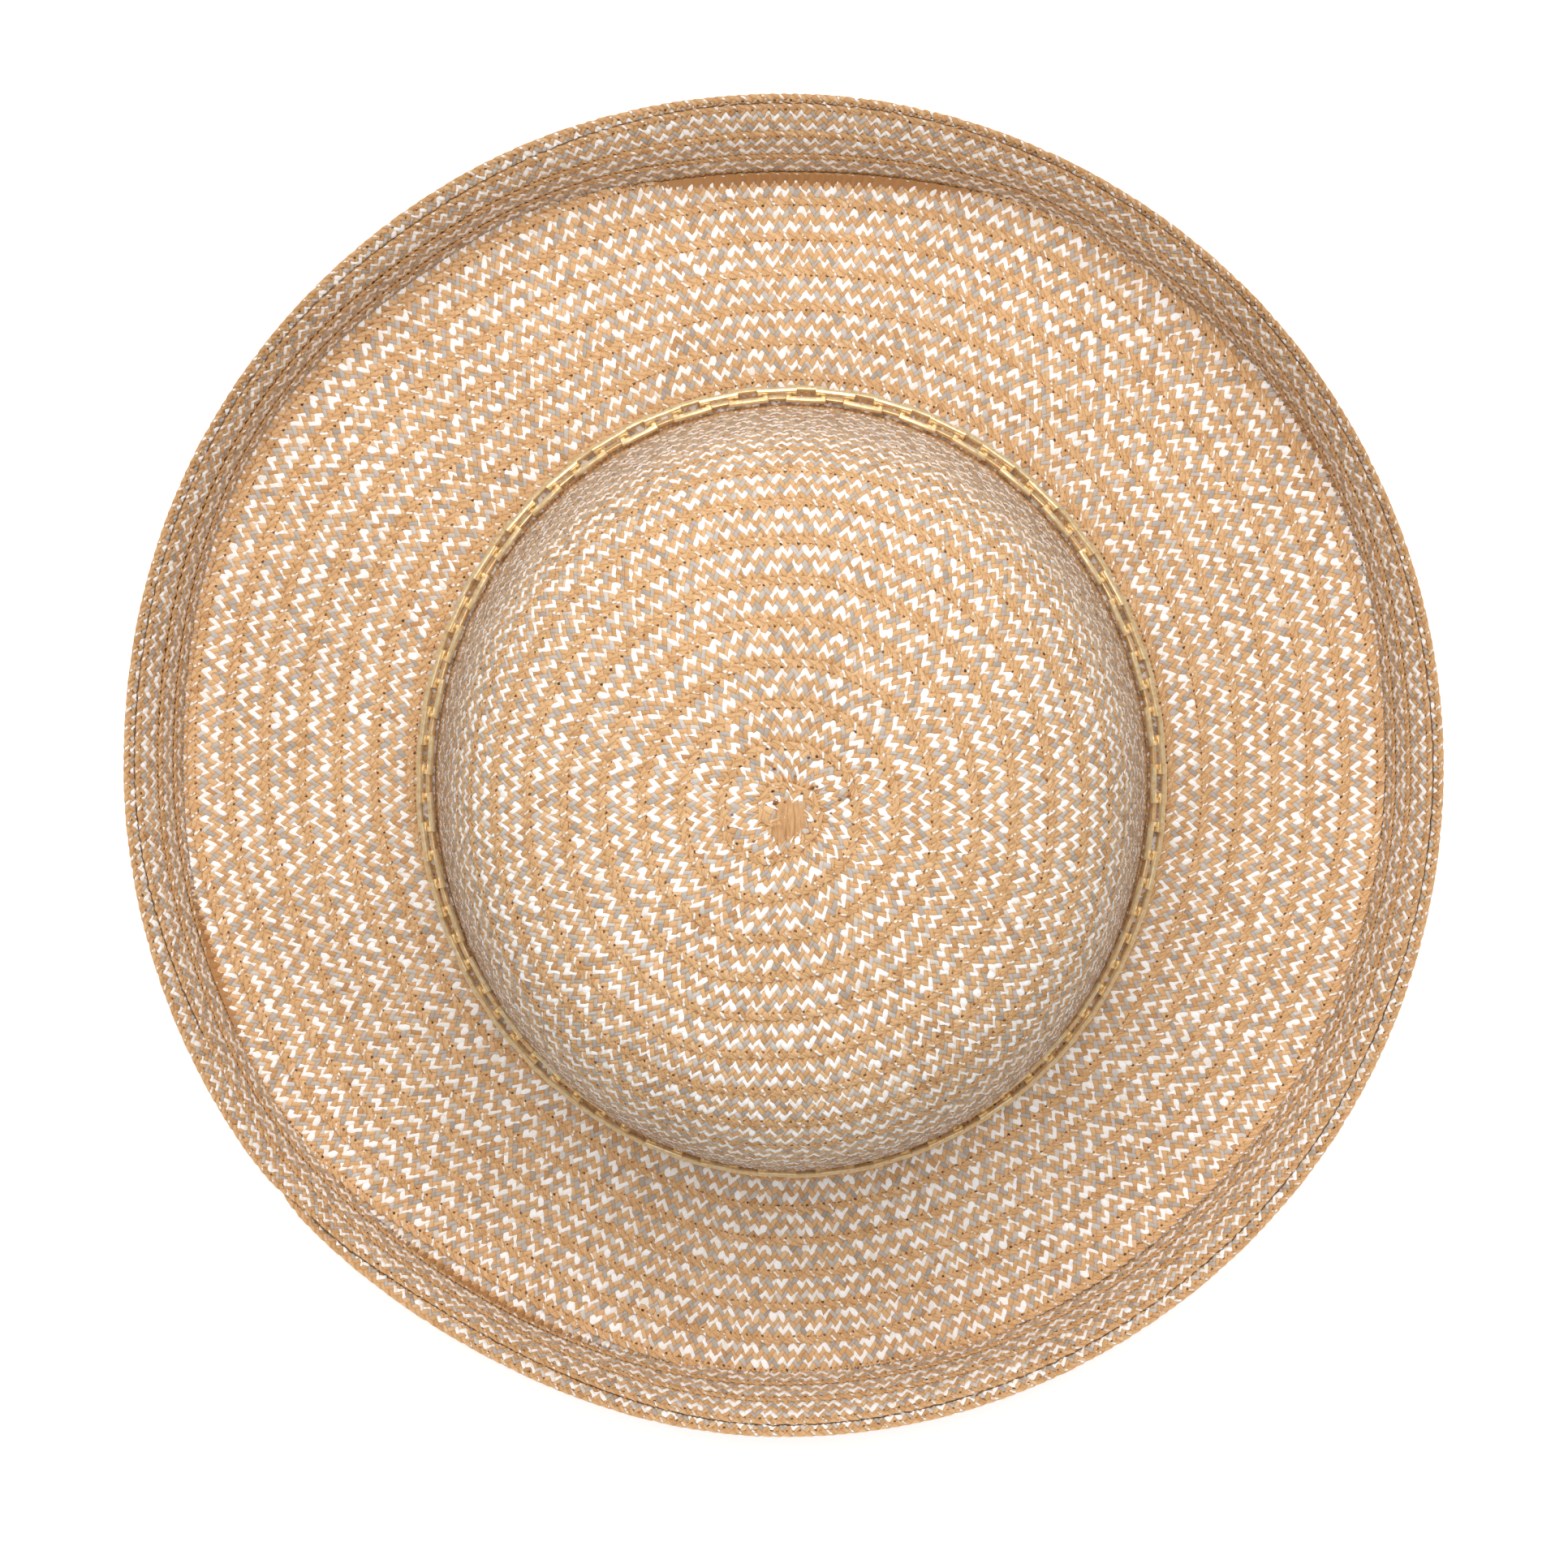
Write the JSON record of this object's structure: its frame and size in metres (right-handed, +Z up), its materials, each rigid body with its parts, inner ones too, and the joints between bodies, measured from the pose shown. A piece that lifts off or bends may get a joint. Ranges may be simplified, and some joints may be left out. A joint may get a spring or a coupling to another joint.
{
  "type": "kettle brim hat",
  "caption": "Sewn straw braid hat with a rounded crown, a flat brim turned up all round and a link chain at the foot of the crown.",
  "frame": {"origin": "on the surface that the hat stands on, below the middle of the brim's outline", "axes": "+Z up through the crown, +Y along the head, +X across the head"},
  "size_m": [0.3306, 0.3366, 0.0943],
  "materials": {
    "crown_straw": "mottled straw braid, matt",
    "brim_straw": "mottled straw braid, matt",
    "gold_chain": "polished gold colour"
  },
  "bodies": {
    "root": {"crown": "crown_straw", "brim": "brim_straw", "chain": "gold_chain"}
  },
  "joints": []
}
